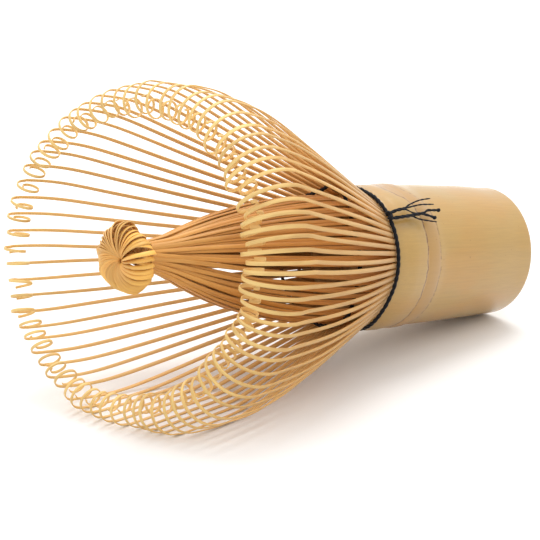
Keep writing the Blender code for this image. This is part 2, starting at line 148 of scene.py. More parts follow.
class Socket:
    """A shader socket in Python expressions. Each operator adds the Math node it stands for."""

    def __init__(self, graph, socket):
        self.graph = graph
        self.socket = socket

    def math(self, operation, *values):
        return self.graph.node("ShaderNodeMath", {"operation": operation}, dict(enumerate(values)))

    def __add__(self, other):
        return self.math("ADD", self, other)

    def __radd__(self, other):
        return self.math("ADD", other, self)

    def __sub__(self, other):
        return self.math("SUBTRACT", self, other)

    def __rsub__(self, other):
        return self.math("SUBTRACT", other, self)

    def __mul__(self, other):
        return self.math("MULTIPLY", self, other)

    def __abs__(self):
        return self.math("ABSOLUTE", self)


class Graph:
    """The nodes of one material or world, and the ones that its expressions add."""

    def __init__(self, owner, surface="Principled BSDF"):
        owner.use_nodes = True
        self.owner = owner
        self.tree = owner.node_tree
        self.surface = self.tree.nodes[surface]

    def node(self, kind, settings=None, inputs=None, output=0):
        """Add a node: its settings are made first, then its inputs take their values or links."""
        node = self.tree.nodes.new(kind)
        for key, value in (settings or {}).items():
            setattr(node, key, value)
        for key, value in (inputs or {}).items():
            self.feed(node.inputs[key], value)
        return Socket(self, node.outputs[output])

    def feed(self, target, value):
        if isinstance(value, Socket):
            self.tree.links.new(value.socket, target)
        else:
            target.default_value = value

    def attribute(self, name, output="Fac"):
        return self.node("ShaderNodeAttribute", {"attribute_name": name}, output=output)

    def part(self, vector, axis):
        return self.node("ShaderNodeSeparateXYZ", None, {0: vector}, output=axis)

    def ray(self, kind):
        """One for rays of a kind, nothing for the others."""
        return self.node("ShaderNodeLightPath", output=f"Is {kind} Ray")

    def scaled(self, vector, factors):
        return self.node("ShaderNodeVectorMath", {"operation": "MULTIPLY"}, {0: vector, 1: factors})

    def noise(self, vector, factors, detail=3.0, roughness=0.5):
        """Clouds, drawn out along an axis whose factor is small."""
        pattern = {"Vector": self.scaled(vector, factors), "Scale": 1.0, "Detail": detail}
        return self.node("ShaderNodeTexNoise", None, {**pattern, "Roughness": roughness})

    def spots(self, vector, factors):
        """Distance to the nearest of many scattered points."""
        inputs = {"Vector": self.scaled(vector, factors), "Scale": 1.0}
        return self.node("ShaderNodeTexVoronoi", None, inputs, output="Distance")

    def step(self, value, low, high, to_low=0.0, to_high=1.0):
        """Smooth change from one value to another as the input goes from low to high."""
        return self.node(
            "ShaderNodeMapRange",
            {"interpolation_type": "SMOOTHSTEP"},
            {"Value": value, "From Min": low, "From Max": high, "To Min": to_low, "To Max": to_high},
        )

    def band(self, value, center, half_width):
        """One at the center, falling smoothly to nothing at the half width."""
        return self.step(abs(value - center), 0.0, half_width, 1.0, 0.0)

    def mix(self, factor, first, second, blend="MIX"):
        settings = {"data_type": "RGBA", "blend_type": blend, "clamp_factor": True}
        inputs = {0: factor, 6: color(first), 7: color(second)}
        return self.node("ShaderNodeMix", settings, inputs, output=2)

    def shaded(self, base, amount):
        """A colour made lighter or darker by a factor that varies round one."""
        grey = self.node("ShaderNodeCombineColor", None, {0: amount, 1: amount, 2: amount})
        return self.mix(1.0, base, grey, "MULTIPLY")

    def bump(self, height, distance, strength):
        inputs = {"Height": height, "Distance": distance, "Strength": strength}
        return self.node("ShaderNodeBump", None, inputs)

    def finish(self, **inputs):
        """Feed the surface's inputs, whose names have spaces for underscores."""
        for key, value in inputs.items():
            self.feed(self.surface.inputs[key.replace("_", " ")], value)
        return self.owner


def color(value):
    """Screen colours become the linear ones that shaders take."""
    if isinstance(value, Socket):
        return value
    linear = [c / 12.92 if c <= 0.04045 else ((c + 0.055) / 1.055) ** 2.4 for c in value]
    return (*linear, 1.0)


# Materials

def skin_material(colours):
    """Bamboo skin: lengthwise fibres, broad clouds, small spots, and a browner ridge between two lines."""
    graph = Graph(bpy.data.materials.new("bamboo_skin"))
    low = RIDGE_LOW / MM
    high = RIDGE_HIGH / MM
    culm = graph.attribute("culm", "Vector")
    fibre = graph.noise(culm, (2.6, 2.6, 0.05), 4.0, 0.6)
    fine_fibre = graph.noise(culm, (9.0, 9.0, 0.25), 2.0)
    clouds = graph.noise(culm, (0.12, 0.12, 0.07), 2.0)
    base = graph.mix(graph.step(clouds, 0.35, 0.65), colours.skin, tinted(colours.skin, 1.02, 0.97, 0.86))
    base = graph.shaded(base, 1.0 + (fibre - 0.5) * 0.22 + (fine_fibre - 0.5) * 0.12)
    along = graph.part(culm, "Z") - graph.attribute("ridge_shift")
    ridge = graph.step(along, low - 0.2, low + 0.3) * graph.step(along, high - 0.25, high + 0.25, 1.0, 0.0)
    base = graph.mix(ridge * 0.5, base, colours.ridge)
    ragged = along + (graph.noise(culm, (0.55, 0.55, 0.3)) - 0.5) * 0.9
    broken = graph.step(graph.noise(culm, (1.4, 1.4, 0.8), 2.0), 0.36, 0.56)
    upper_line = graph.band(ragged, high + 0.1, 0.3)
    lower_line = graph.band(ragged, low, 0.32) * broken
    lines = upper_line * (0.45 + broken * 0.55) + lower_line * 0.6
    base = graph.mix(lines * 0.85, base, tinted(colours.ridge, 0.55, 0.42, 0.36))
    smudge = graph.attribute("smudge") * graph.step(clouds + (fibre - 0.5) * 0.5, 0.25, 0.6, 0.55, 1.0)
    base = graph.mix(smudge * 0.55, base, tinted(colours.ridge, 0.80, 0.92, 1.10))
    speckle = graph.noise(culm, (1.3, 1.3, 0.9), 3.0, 0.7)
    spot = graph.step(graph.spots(culm, (0.32, 0.32, 0.24)), 0.02, 0.085, 1.0, 0.0)
    flecks = graph.step(graph.spots(culm, (0.9, 0.9, 0.75)), 0.03, 0.12, 1.0, 0.0)
    marks = spot * graph.step(speckle, 0.5, 0.62) * 0.45 + flecks * graph.step(speckle, 0.52, 0.6) * 0.55
    base = graph.mix(marks, base, tinted(colours.ridge, 0.68, 0.52, 0.42))
    inside = graph.attribute("inside")
    base = graph.mix(inside, base, graph.shaded(colours.pith, 1.0 + (fibre - 0.5) * 0.5))
    dents = graph.noise(culm, (0.8, 0.8, 0.12))
    relief = fibre * 0.5 + fine_fibre * 0.3 + dents * 0.8 - lines * 0.9
    return graph.finish(
        Base_Color=base,
        Roughness=0.42 + inside * 0.3 + (fine_fibre - 0.5) * 0.12,
        Coat_Weight=0.85 - inside * 0.85,
        Coat_Roughness=0.24,
        Normal=graph.bump(relief, 0.05 * MM, 0.5),
    )


def ribbon_material(name, face, tip, back, gloss):
    """Split bamboo: pale outer face with fine grain lines, golden where it is thin (partly its own colour, partly
    painted glow of light shining through it), browner on the back.
    """
    graph = Graph(bpy.data.materials.new(name))
    grain = graph.attribute("grain", "Vector")
    reach = graph.attribute("reach")
    lines = graph.noise(grain, (7.0, 7.0, 0.06), 3.0, 0.6)
    fine = graph.noise(grain, (16.0, 16.0, 0.4), 2.0, 0.6)
    patches = graph.noise(grain, (0.5, 0.5, 0.16), 2.0)
    # From the roots to the thin end the face turns lighter, more golden and at last the tip colour, and the back
    # takes on the tip colour too. On the crown's tines this is partly the thin bamboo's own colour and partly
    # painted glow of light shining through it.
    base = graph.mix(graph.step(reach, 0.04, 0.4), face, tinted(face, 1.05, 1.05, 0.93))
    base = graph.mix(graph.step(reach, 0.55, 0.8), base, tip)
    base = graph.mix(graph.step(patches, 0.45, 0.7) * 0.35, base, tinted(face, 0.93, 0.86, 0.72))
    base = graph.mix(graph.step(lines, 0.5, 0.72) * 0.5, base, tinted(face, 0.86, 0.76, 0.62))
    behind = graph.mix(graph.step(reach, 0.6, 0.85) * 0.7, back, tip)
    base = graph.mix(graph.step(graph.attribute("skin_side"), 0.35, 0.65, 1.0, 0.0), base, behind)
    base = graph.shaded(base, graph.attribute("tone") + (fine - 0.5) * 0.16 + (lines - 0.5) * 0.14)
    return graph.finish(
        Base_Color=base,
        Roughness=gloss + (lines - 0.5) * 0.2,
        Normal=graph.bump(lines * 0.7 + fine * 0.4, 0.03 * MM, 0.6),
    )


def thread_material(colours):
    """Matt black cotton with a faint cast on its loose fibres."""
    graph = Graph(bpy.data.materials.new("black_cotton"))
    fibre = graph.noise(graph.attribute("grain", "Vector"), (14.0, 14.0, 2.0), 3.0, 0.6)
    cast = tinted(colours.thread, 2.0, 1.9, 1.7)
    return graph.finish(
        Base_Color=graph.mix(graph.step(fibre, 0.5, 0.8) * 0.5, colours.thread, cast),
        Roughness=0.85,
        Specular_IOR_Level=0.25,
        Sheen_Weight=0.12,
        Sheen_Roughness=0.5,
        Normal=graph.bump(fibre, 0.05 * MM, 0.7),
    )


def table_material(stage):
    """White table. What it throws back on the whisk is duller than what the camera sees."""
    graph = Graph(bpy.data.materials.new("white_table"))
    seen = graph.ray("Camera") + graph.ray("Glossy") + graph.ray("Transmission")
    shade = graph.mix(seen, stage.table_bounce, stage.table)
    return graph.finish(Base_Color=shade, Roughness=0.6, Specular_IOR_Level=0.2)


def tinted(base, red, green, blue):
    return tuple(min(1.0, value * factor) for value, factor in zip(base, (red, green, blue)))


# Mesh helpers

def around(radius, angle, height):
    return Vector((radius * math.cos(angle), radius * math.sin(angle), height))


def arc(center, radius, start_degrees, end_degrees, steps):
    """Points (radius, height) on an arc, both ends included."""
    points = []
    for step in range(steps + 1):
        angle = math.radians(start_degrees + (end_degrees - start_degrees) * step / steps)
        points.append((center[0] + radius * math.cos(angle), center[1] + radius * math.sin(angle)))
    return points


def beside(angle):
    """Direction round the axis at an angle."""
    return Vector((-math.sin(angle), math.cos(angle), 0.0))


def slope(points, index):
    """From the point before to the point after, as far as there are any."""
    return points[min(index + 1, len(points) - 1)] - points[max(index - 1, 0)]


def smooth_route(points, steps):
    """Points on a smooth curve through the route's own points."""
    padded = [2 * points[0] - points[1], *points, 2 * points[-1] - points[-2]]
    route = []
    for index in range(len(points) - 1):
        before, start, end, after = padded[index : index + 4]
        for step in range(steps):
            share = step / steps
            linear = (end - before) * share
            square = (2 * before - 5 * start + 4 * end - after) * share**2
            cube = (3 * start - before - 3 * end + after) * share**3
            route.append(0.5 * (2 * start + linear + square + cube))
    route.append(points[-1].copy())
    return route


def skin_over(rings, marks):
    """A closed tube through rings of points: a grid rolled up, welded along its seam and filled at its ends.

    The marks give each attribute's value by ring and corner.
    """
    shape = bmesh.new()
    sides = len(rings[0])
    bmesh.ops.create_grid(shape, x_segments=sides, y_segments=len(rings) - 1, size=1.0)
    shape.verts.ensure_lookup_table()
    layers = {}
    for name, table in marks.items():
        kind = "float_vector" if isinstance(table[0][0], Vector) else "float"
        layers[name] = getattr(shape.verts.layers, kind).new(name)
    seam = {}
    for row, ring in enumerate(rings):
        first = row * (sides + 1)
        for column in range(sides + 1):
            vert = shape.verts[first + column]
            corner = column % sides
            vert.co = ring[corner]
            for name, table in marks.items():
                vert[layers[name]] = table[row][corner]
        seam[shape.verts[first + sides]] = shape.verts[first]
    bmesh.ops.weld_verts(shape, targetmap=seam)
    bmesh.ops.holes_fill(shape, edges=[edge for edge in shape.edges if edge.is_boundary], sides=0)
    bmesh.ops.recalc_face_normals(shape, faces=shape.faces)
    return shape


def frames_along(path, outs):
    """Each point of a path with its length so far, an outward direction square to it, and the one across.

    The outward directions are a list, or a first one that is carried on without a twist.
    """
    length = 0.0
    outward = outs
    for index, point in enumerate(path):
        if index:
            length += (point - path[index - 1]).length
        along = slope(path, index).normalized()
        out = outs[index] if isinstance(outs, list) else outward
        outward = (out - along * out.dot(along)).normalized()
        yield point, length, outward, along.cross(outward)


# A ribbon's corners, across it and outward, as shares of its half width and half thickness
RIBBON_SECTION = ((-0.82, 1), (0.82, 1), (1, 0.5), (1, -0.5), (0.82, -1), (-0.82, -1), (-1, -0.5), (-1, 0.5))
STRAND_SIDES = 8


def ribbon(path, outs, widths, thicknesses, tone, seed):
    """One flat strip of split bamboo along a path. Its attributes follow the grain."""
    offset = Vector((seed * 3.7 % 31.0, seed * 5.3 % 29.0, seed * 7.9 % 37.0))
    corners = len(RIBBON_SECTION)
    rings = []
    grains = []
    reaches = []
    total = sum((b - a).length for a, b in zip(path, path[1:]))
    frames = frames_along(path, outs)
    for (point, length, outward, across), width, thickness in zip(frames, widths, thicknesses):
        half_width = width / 2
        half_thickness = thickness / 2
        ring = []
        grain = []
        for over, out in RIBBON_SECTION:
            ring.append(point + across * (over * half_width) + outward * (out * half_thickness))
            grain.append(Vector((over * half_width, out * half_thickness, length)) / MM + offset)
        rings.append(ring)
        grains.append(grain)
        reaches.append([length / total] * corners)
    marks = {
        "grain": grains,
        "skin_side": [[max(0.0, out) for over, out in RIBBON_SECTION]] * len(rings),
        "reach": reaches,
        "tone": [[tone] * corners] * len(rings),
    }
    return skin_over(rings, marks)


def strand(path, radius, taper):
    """One round strand along a path, with its attributes along it."""
    rings = []
    grains = []
    last = len(path) - 1
    carried = frames_along(path, Vector((0.31, 0.17, 0.94)).normalized())
    for index, (point, length, outward, across) in enumerate(carried):
        here = radius * (1 + (taper - 1) * index / last)
        ring = []
        grain = []
        for corner in range(STRAND_SIDES):
            angle = math.tau * corner / STRAND_SIDES
            spot = outward * math.cos(angle) + across * math.sin(angle)
            ring.append(point + spot * here)
            grain.append(Vector((math.cos(angle) * here, math.sin(angle) * here, length)) / MM)
        rings.append(ring)
        grains.append(grain)
    return skin_over(rings, {"grain": grains})


def joined(shapes):
    """One shape out of many. The parts are used up."""
    whole = bmesh.new()
    for shape in shapes:
        mesh = bpy.data.meshes.new("joining")
        shape.to_mesh(mesh)
        shape.free()
        whole.from_mesh(mesh)
        bpy.data.meshes.remove(mesh)
    return whole


def placed(name, data):
    """A new object of a mesh, camera or lamp, at the origin."""
    item = bpy.data.objects.new(name, data)
    bpy.context.scene.collection.objects.link(item)
    return item


def made_of(shape, name, material):
    """A mesh of a shape, which is used up."""
    mesh = bpy.data.meshes.new(name)
    shape.to_mesh(mesh)
    shape.free()
    mesh.materials.append(material)
    return mesh


def lay_down(name, shape, material):
    """Make an object of a shape drawn in the whisk's own frame, with its place in its mesh."""
    bmesh.ops.transform(shape, matrix=LYING, verts=shape.verts)
    mesh = made_of(shape, name, material)
    mesh.shade_smooth()
    return placed(name, mesh)


def fixed(piece, slot, *nodes):
    """A piece that stays with the handle and stands for the named nodes."""
    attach(piece, "whisk")
    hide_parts(*nodes)


# Handle

# The wall at the node closes the bore, and the end's edges are rounded
WALL_UNDERSIDE = -10.3 * MM
WALL_FILLET = 1.6 * MM
INNER_EDGE = 0.6 * MM
OUTER_EDGE = 1.1 * MM
BORE_RIPPLE = 0.05 * MM
SKIN_TAPER = 1.6

# The outside below, on and above the ridge: distance from its edge, or share of the way over it, and the rise
# over the radius there, in millimetres
BELOW_RIDGE = ((1.5, 0.05), (0.8, 0.12), (0.35, 0.2), (0.0, 0.22))
ON_RIDGE = ((0.1, -0.1), (0.25, 0.0), (0.5, 0.05), (0.75, 0.02), (0.92, -0.05))
ABOVE_RIDGE = ((0.0, -0.1), (0.25, -0.04), (0.6, 0.04))

# The collar: heights, and how far short of its largest radius it is. Then heights and radii under the tines
COLLAR = (
    *((-6.0, 0.08), (-5.2, 0.01), (-4.5, 0.0), (-3.7, 0.06), (-2.9, 0.18), (-2.1, 0.34)),
    *((-1.4, 0.5), (-0.8, 0.66), (-0.45, 0.8), (-0.3, 0.95), (-0.24, 1.15), (-0.3, 1.5)),
)
COVERED = ((-0.7, 11.6), (-0.8, 10.0))
HOLLOW_TOP = -2.0 * MM
HOLLOW_BOTTOM = -7.4 * MM
WALL_MIDDLE = -8.1 * MM

TURNING_STEPS = 144
SKIN_DEPTH = 0.7 * MM


def turned(degrees, middle):
    """How far an angle is from a middle one, the short way round, in degrees."""
    return (degrees - middle + 180) % 360 - 180


def hump(degrees, middle, width, power=2):
    """One at a middle angle, falling to nothing on both sides."""
    return math.exp(-((turned(degrees, middle) / width) ** power))


def ridge_shift(degrees):
    """How far the ridge's lines climb towards the thread at an angle round the culm, in millimetres."""
    return 2.4 * hump(degrees, 353, 17) + 0.2 * math.sin(math.radians(3 * degrees))


def smudge(degrees, height):
    """Strength of the grey-green streak that runs along the collar, with the height in millimetres."""
    return hump(degrees, 309.5, 3.4) * math.exp(-(((height + 3.9) / 2.7) ** 4))


def handle_outline(sizes):
    """Half section of the handle, from the middle of its wall down the bore and back up the outside."""
    foot = -sizes.handle_length
    bore = sizes.bore_radius
    corner = (bore - WALL_FILLET, WALL_UNDERSIDE - WALL_FILLET)
    bore_end = foot + INNER_EDGE
    outline = [(0.0, WALL_UNDERSIDE), (corner[0], WALL_UNDERSIDE)]
    outline += arc(corner, WALL_FILLET, 90, 0, 4)
    for step in range(1, 8):
        outline.append((bore + BORE_RIPPLE * math.sin(step), corner[1] + (bore_end - corner[1]) * step / 8))
    outline += arc((bore + INNER_EDGE, bore_end), INNER_EDGE, 180, 270, 3)
    outline += arc((sizes.foot_radius - OUTER_EDGE, foot + OUTER_EDGE), OUTER_EDGE, -90, 0, 6)
    skin_start = foot + 3.0 * MM
    skin_end = RIDGE_LOW - 2.4 * MM
    for step in range(11):
        share = step / 10
        taper = 1 - (1 - share) ** SKIN_TAPER
        radius = sizes.foot_radius + (sizes.handle_radius - sizes.foot_radius) * taper
        outline.append((radius, skin_start + (skin_end - skin_start) * share))
    for below, rise in BELOW_RIDGE:
        outline.append((sizes.handle_radius + rise * MM, RIDGE_LOW - below * MM))
    for share, rise in ON_RIDGE:
        outline.append((sizes.ridge_radius + rise * MM, RIDGE_LOW + (RIDGE_HIGH - RIDGE_LOW) * share))
    for above, rise in ABOVE_RIDGE:
        outline.append((sizes.ridge_radius + rise * MM, RIDGE_HIGH + above * MM))
    for height, short in COLLAR:
        outline.append((sizes.collar_radius - short * MM, height * MM))
    for height, radius in COVERED:
        outline.append((radius * MM, height * MM))
    return outline + [(bore, HOLLOW_TOP), (bore, HOLLOW_BOTTOM), (0.0, WALL_MIDDLE)]


def build_handle(sizes, colours):
    shape = bmesh.new()
    verts = [shape.verts.new((radius, 0.0, height)) for radius, height in handle_outline(sizes)]
    edges = [shape.edges.new(pair) for pair in zip(verts, verts[1:])]
    turn = {"cent": (0, 0, 0), "axis": (0, 0, 1), "angle": math.tau, "steps": TURNING_STEPS}
    bmesh.ops.spin(shape, geom=verts + edges, use_merge=True, **turn)
    bmesh.ops.remove_doubles(shape, verts=shape.verts, dist=0.002 * MM)
    culm = shape.verts.layers.float_vector.new("culm")
    inside = shape.verts.layers.float.new("inside")
    shift = shape.verts.layers.float.new("ridge_shift")
    streak = shape.verts.layers.float.new("smudge")
    skin_from = sizes.bore_radius + SKIN_DEPTH
    for vert in shape.verts:
        radius = vert.co.to_2d().length
        degrees = math.degrees(math.atan2(vert.co.y, vert.co.x)) % 360
        vert[shift] = ridge_shift(degrees)
        vert[streak] = smudge(degrees, vert.co.z / MM)
        vert[culm] = vert.co / MM
        cut = vert.co.z < -sizes.handle_length + 0.15 * MM
        vert[inside] = 1.0 if radius < skin_from or cut else 0.0
        if radius > skin_from and vert.co.z < HOLLOW_TOP:
            direction = vert.co.normalized()
            lump = noise.noise(Vector((direction.x * 1.7, direction.y * 1.7, vert.co.z / (9 * MM))))
            above = max(0.0, min(1.0, (vert.co.z - RIDGE_HIGH) / (1.5 * MM)))
            flat = 0.35 * above * max(0.0, math.cos(math.radians(degrees))) ** 6
            vert.co += vert.co.to_2d().to_3d().normalized() * (lump * 0.09 - flat) * MM
    bmesh.ops.recalc_face_normals(shape, faces=shape.faces)
    piece = lay_down("handle_bamboo", shape, skin_material(colours))
    piece.data.set_sharp_from_angle(angle=math.radians(50))
    fixed(piece, "bamboo_skin", "handle")


# Outer tines

SHANK_STEPS = 30
CURL_STEPS = 54
ROOT_FLARE = math.radians(25.75)

# The crown is out of round: waves round it with count, cosine part and sine part in millimetres
CROWN_WAVES = ((1, 0.69, 4.32), (2, 0.52, 0.43), (3, 0.34, -1.12))

# Its rim is tilted, with a cosine part and a sine part in millimetres
RIM_TILT = (-1.85, 2.2)

# Where it stands out this far, its tines lean and curl as they do on its widest side
FULL_SWELL = 4.4 * MM
SWELL_LEAN = 7

# One side is a straighter cone, whose tines flare and lean by some degrees more and run a little round it
CONE_SIDE = math.radians(283)
CONE_LEAN = 3.3
CONE_RUN = math.radians(3)

# About there the tines stand further in and end early, by millimetres, and arch over before they curl
ARCHED_SIDE = math.radians(274.6)
ARCH_INWARD = 1.95
ARCH_SHORTER = 14.6
ARCH_LEAN = 18

# Shares of its height over which a tine holds its direction: at the thread, less on the cone, and at the curl
ROOT_HOLD = 0.92
CONE_HOLD = 0.69
CURL_HOLD = 0.22

# Final radius of the curls in millimetres, how much wider they begin, and the degrees over which they tighten
CURL_RADIUS = 1.35
LOOSE = 1.72
SWELL_LOOSE = 0.48
ARCH_LOOSE = 13
TIGHTENING = 120
ARCH_TIGHTENING = 60

# Depth and height of a tine's points under the thread, in millimetres
HIDDEN_ROOT = ((0.42, -1.6), (0.40, -0.6))

TABLE_GAP = 0.1 * MM
TABLE_EASING = 0.3 * MM


class Tine:
    """Where one tine of the crown stands, and how it differs from its neighbours."""

    def __init__(self, index, count):
        chance = random.Random(900 + index)
        self.angle = math.tau * (index + 0.5) / count
        self.tone = chance.uniform(0.93, 1.06)
        drift = noise.noise(Vector((index * 0.41, 3.3, 0.0)))
        self.sideways = max(-0.7, min(0.7, drift * 0.9 + chance.uniform(-0.25, 0.25))) * MM
        outward = (noise.noise(Vector((index * 0.5, 9.1, 4.0))) * 0.8 + chance.uniform(-0.2, 0.2)) * MM
        upward = (noise.noise(Vector((index * 0.37, 1.7, 8.0))) * 0.8 + chance.uniform(-0.3, 0.3)) * MM
        self.curl_turn = math.radians(chance.uniform(395, 460))
        self.curl_size = chance.uniform(0.93, 1.07)
        tangle = noise.noise(Vector((index * 0.6, 2.2, 2.0)))
        self.curl_lean = 0.04 + chance.uniform(-0.03, 0.03) + 0.18 * tangle
        self.width = chance.uniform(0.92, 1.06)
        self.wave = chance.uniform(-0.12, 0.12) * MM
        self.cone = max(0.0, math.cos(self.angle - CONE_SIDE)) ** 2
        self.arch = (0.5 + 0.5 * math.cos(self.angle - ARCHED_SIDE)) ** 2
        tilt = RIM_TILT[0] * math.cos(self.angle) + RIM_TILT[1] * math.sin(self.angle)
        self.upward = (tilt - ARCH_SHORTER * self.arch) * MM + upward
        self.outward = crown_wave(self.angle) - ARCH_INWARD * MM * self.arch + outward
        self.swell = min(1.0, max(0.0, self.outward / FULL_SWELL))


def crown_wave(angle):
    return sum(a * math.cos(count * angle) + b * math.sin(count * angle) for count, a, b in CROWN_WAVES) * MM


def over_table(radius, angle, height):
    """A tine's distance from the axis, eased back where the table would stop it."""
    underside = -math.cos(angle) * SKYWARD.z
    if underside < 0.2:
        return radius
    room = (NECK.z + TIPWARD.z * height - TABLE_GAP) / underside
    return radius - TABLE_EASING * math.log1p(math.exp(min(60.0, (radius - room) / TABLE_EASING)))


def shank_point(sizes, tine, share):
    """Middle of an outer tine between the thread and its curl, as distance from the axis and height."""
    start = Vector((sizes.root_radius - 0.225 * MM, 0.3 * MM))
    end = Vector((sizes.crown_radius + max(0.0, tine.outward), sizes.crown_height))
    height = end.y - start.y
    flare = ROOT_FLARE + math.radians(CONE_LEAN) * tine.cone
    lean = math.radians(SWELL_LEAN * tine.swell + CONE_LEAN * tine.cone + ARCH_LEAN * tine.arch)
    held = (ROOT_HOLD - CONE_HOLD * tine.cone) * height
    leaving = start + held * Vector((math.sin(flare), math.cos(flare)))
    arriving = end - (CURL_HOLD + 0.03 * tine.swell) * height * Vector((math.sin(lean), math.cos(lean)))
    rest = 1 - share
    point = rest**3 * start + 3 * rest**2 * share * leaving + 3 * rest * share**2 * arriving + share**3 * end
    point.x += min(0.0, tine.outward) * max(0.0, point.y / sizes.crown_height) ** 1.5
    return point


def tine_path(sizes, index):
    """Path, outward directions, widths, thicknesses and tone of one tine of the crown."""
    tine = Tine(index, sizes.tines)
    root_width = math.tau * sizes.root_radius / sizes.tines - 0.28 * MM
    tip_width = (0.65 + 0.12 * math.cos(tine.angle - CONE_SIDE)) * MM
    path = [around(sizes.root_radius - depth * MM, tine.angle, height * MM) for depth, height in HIDDEN_ROOT]
    outs = [around(1.0, tine.angle, 0.0)] * 2
    widths = [root_width] * 2
    thicknesses = [0.8 * MM] * 2
    shank = []
    for step in range(SHANK_STEPS + 1):
        point = shank_point(sizes, tine, step / SHANK_STEPS)
        blend = max(0.0, point.y / sizes.crown_height) ** 1.5
        height = point.y + tine.upward * blend
        shank.append((over_table(point.x, tine.angle, height), height, blend))
    for step, (radius, height, blend) in enumerate(shank):
        share = step / SHANK_STEPS
        before = shank[max(step - 1, 0)]
        after = shank[min(step + 1, SHANK_STEPS)]
        lean = math.atan2(after[0] - before[0], after[1] - before[1])
        sideways = tine.sideways * blend + tine.wave * math.sin(5.0 * share)
        angle = tine.angle + sideways / radius + CONE_RUN * tine.cone * blend
        path.append(around(radius, angle, height))
        outs.append(around(math.cos(lean), angle, -math.sin(lean)))
        widths.append((root_width + (tip_width - root_width) * share**0.7) * tine.width)
        thicknesses.append((0.24 + 0.5 * (1 - share) ** 4 + 0.06 * (1 - share)) * MM)
    angle = tine.angle + tine.sideways / radius + CONE_RUN * tine.cone
    turn = tine.curl_turn / CURL_STEPS
    drift = 0.0
    loose = (LOOSE + SWELL_LOOSE * tine.swell) * (1 - tine.arch) + ARCH_LOOSE * tine.arch
    tightening = TIGHTENING - (TIGHTENING - ARCH_TIGHTENING) * tine.arch
    for step in range(1, CURL_STEPS + 1):
        share = step / CURL_STEPS
        bend = (CURL_RADIUS + loose * math.exp(-math.degrees(turn * step) / tightening)) * MM * tine.curl_size
        middle = turn * (step - 0.5) - lean
        radius -= bend * turn * math.sin(middle)
        height += bend * turn * math.cos(middle)
        drift += bend * turn * tine.curl_lean * min(1.0, 3 * share)
        path.append(around(over_table(radius, tine.angle, height), angle, height) + beside(angle) * drift)
        outs.append(around(math.cos(turn * step - lean), angle, math.sin(turn * step - lean)))
        widths.append((tip_width - 0.05 * MM * share) * tine.width)
        thicknesses.append((0.24 - 0.06 * share) * MM)
    return path, outs, widths, thicknesses, tine.tone


def grouped(count, groups):
    """The numbers up to a count, in equal groups."""
    size = count // groups
    return [range(group * size, (group + 1) * size) for group in range(groups)]


def build_crown(sizes, colours):
    material = ribbon_material("bamboo_tines", colours.tine, colours.curl, colours.tine_back, 0.42)
    for group, members in enumerate(grouped(sizes.tines, OUTER_GROUPS)):
        shapes = [ribbon(*tine_path(sizes, index), index) for index in members]
        piece = lay_down(f"crown_{group + 1:02d}", joined(shapes), material)
        middle = math.tau * (group + 0.5) / OUTER_GROUPS
        start = LYING @ around(sizes.root_radius, middle, 0.0)
        end = LYING @ around(sizes.root_radius, middle, 25 * MM)
        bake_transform(piece)
        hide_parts(f"outer_tines_{group + 1:02d}")


# Inner tines

# Height over the thread and radius of the bundle, in millimetres
BUNDLE_PROFILE = (
    *((-1.6, 10.75), (0.0, 10.8), (6.0, 11.4), (14.0, 11.2), (24.0, 9.8)),
    *((33.0, 7.6), (40.0, 5.2), (45.0, 3.2), (49.6, 1.9), (51.6, 1.2)),
)

# The bundle bends skywards, by this much where the knot begins
BUNDLE_LIFT = 2.5 * MM
KNOT_START = 49.6 * MM


def inner_path(index, count, route):
    """Path, outward directions, widths, thicknesses and tone of one tine of the bundle."""
    chance = random.Random(4400 + index)
    base = math.tau * (index + 0.5) / count
    layer = (index % 3 - 1) + chance.uniform(-0.25, 0.25)
    sideways = chance.uniform(-0.5, 0.5) * MM
    wander = chance.uniform(-0.35, 0.35) * MM
    path = []
    outs = []
    widths = []
    thicknesses = []
    for step, point in enumerate(route):
        share = step / (len(route) - 1)
        lean = math.atan2(*slope(route, step))
        crowd = max(0.0, (share - 0.25) / 0.75)
        radius = max(0.5 * MM, point.x + layer * 0.42 * MM * crowd**0.8)
        aside = sideways * math.sin(math.pi * share) + wander * math.sin(2.4 * math.pi * share)
        angle = base + aside / max(radius, 4 * MM)
        lift = BUNDLE_LIFT * max(0.0, point.y / KNOT_START) ** 2
        path.append(around(radius, angle, point.y) + Vector((lift, 0.0, 0.0)))
        tilt = (0.08 + 0.2 * crowd) * (1 if index % 2 else -1)
        outs.append(around(math.cos(lean), angle + tilt, -math.sin(lean)))
        widths.append((0.88 - 0.16 * share) * MM * chance.uniform(0.99, 1.01))
        thicknesses.append((0.34 - 0.12 * share) * MM)
    return path, outs, widths, thicknesses, chance.uniform(0.86, 1.08)


def build_bundle(sizes, colours):
    # The bundle's face and back are darker than its colour: painted shade deep inside the crown. Towards the knot
    # the ribbons turn to the bundle's own colour, out of that painted shade.
    face = tinted(colours.bundle, 0.86, 0.80, 0.74)
    back = tinted(colours.tine_back, 0.8, 0.74, 0.66)
    material = ribbon_material("bamboo_bundle", face, colours.bundle, back, 0.45)
    route = smooth_route([Vector((radius, height)) * MM for height, radius in BUNDLE_PROFILE], 5)
    for group, members in enumerate(grouped(sizes.tines, INNER_GROUPS)):
        shapes = [ribbon(*inner_path(index, sizes.tines, route), 200 + index) for index in members]
        piece = lay_down(f"bundle_{group + 1}", joined(shapes), material)
        fixed(piece, "bamboo_pith_side", f"inner_tines_{group + 1}")


# Knot of the inner tines

# Its ribbons run over a ring of round section, whose middle line is wider at the rim than in the dimple
KNOT_CENTER = Vector((1.6, 0.0, 53.0)) * MM
KNOT_TUBE = 2.6 * MM
KNOT_RIM_RING = 3.6 * MM
KNOT_DIMPLE_RING = 2.75 * MM
KNOT_BACK = 0.6
KNOT_STEPS = 40
KNOT_REACH = math.radians(150)

